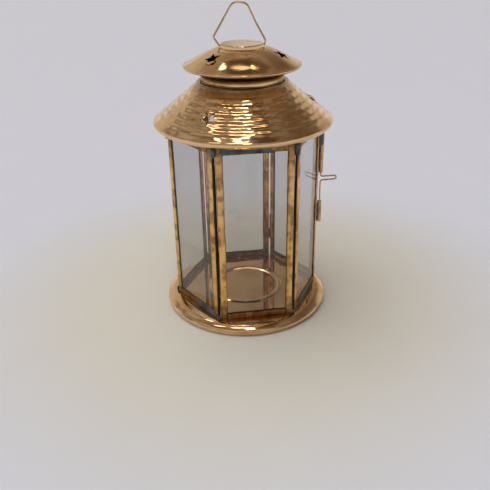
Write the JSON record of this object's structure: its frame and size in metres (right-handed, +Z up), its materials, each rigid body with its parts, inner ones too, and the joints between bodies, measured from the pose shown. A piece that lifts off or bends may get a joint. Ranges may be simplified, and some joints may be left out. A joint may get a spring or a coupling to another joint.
{
  "type": "ship lantern",
  "caption": "Hexagonal glass tea light lantern in brass: framed panes and a hinged door under a ribbed spun roof with star vents, a vented dome and a wire bail",
  "frame": {"origin": "middle of the underside of the base, on the axis of the base", "axes": "+Z up along the axis; -Y is the front, where the most frontal pane faces 8 degrees to the right of it; +X to the right, where the latch stands out"},
  "size_m": [0.0958, 0.091, 0.1589],
  "materials": {
    "spun_brass": "polished spun sheet with light lacquer and tarnish",
    "strip_brass": "folded strip, polished, tarnished at the joints",
    "tube_brass": "drawn tube, dulled by soldering heat",
    "wire_brass": "drawn wire",
    "pane_glass": "clear sheet glass, slightly smudged",
    "solder": "dull grey tin solder with dark flux stains"
  },
  "bodies": {
    "lantern": {"base_dish": "spun_brass", "roof": "spun_brass", "neck": "spun_brass", "neck_solder": "solder", "dome": "spun_brass", "cap": "spun_brass", "front_glass": "pane_glass", "front_stile_left": "strip_brass", "front_stile_right": "strip_brass", "front_rail_top": "strip_brass", "front_rail_bottom": "strip_brass", "right_glass": "pane_glass", "right_stile_left": "strip_brass", "right_stile_right": "strip_brass", "right_rail_top": "strip_brass", "right_rail_bottom": "strip_brass", "back_glass": "pane_glass", "back_stile_left": "strip_brass", "back_stile_right": "strip_brass", "back_rail_top": "strip_brass", "back_rail_bottom": "strip_brass", "rear_left_glass": "pane_glass", "rear_left_stile_left": "strip_brass", "rear_left_stile_right": "strip_brass", "rear_left_rail_top": "strip_brass", "rear_left_rail_bottom": "strip_brass", "left_glass": "pane_glass", "left_stile_left": "strip_brass", "left_stile_right": "strip_brass", "left_rail_top": "strip_brass", "left_rail_bottom": "strip_brass", "frame_tubes": "tube_brass", "hinge_pin": "wire_brass", "latch_tube_upper": "tube_brass", "latch_tube_lower": "tube_brass", "solder_joints": "solder"},
    "door": {"door_glass": "pane_glass", "door_stile_left": "strip_brass", "door_stile_right": "strip_brass", "door_rail_top": "strip_brass", "door_rail_bottom": "strip_brass", "door_tubes": "tube_brass"},
    "bail": {"bail": "wire_brass"},
    "latch": {"latch_wire": "wire_brass"}
  },
  "joints": [
    {"name": "door_hinge", "type": "hinge", "parent": "lantern", "child": "door", "pos_m": [0.016, 0.03811, 0.05], "axis": [0, 0, 1], "range_deg": [0, 110]},
    {"name": "latch_turn", "type": "hinge", "parent": "lantern", "child": "latch", "pos_m": [0.0413, 0.00572, 0.065], "axis": [0, 0, 1], "range_deg": [-90, 115]},
    {"name": "bail_swing", "type": "hinge", "parent": "lantern", "child": "bail", "pos_m": [0, 0, 0.1392], "axis": [1, 0, 0], "range_deg": [-74, 74]}
  ]
}
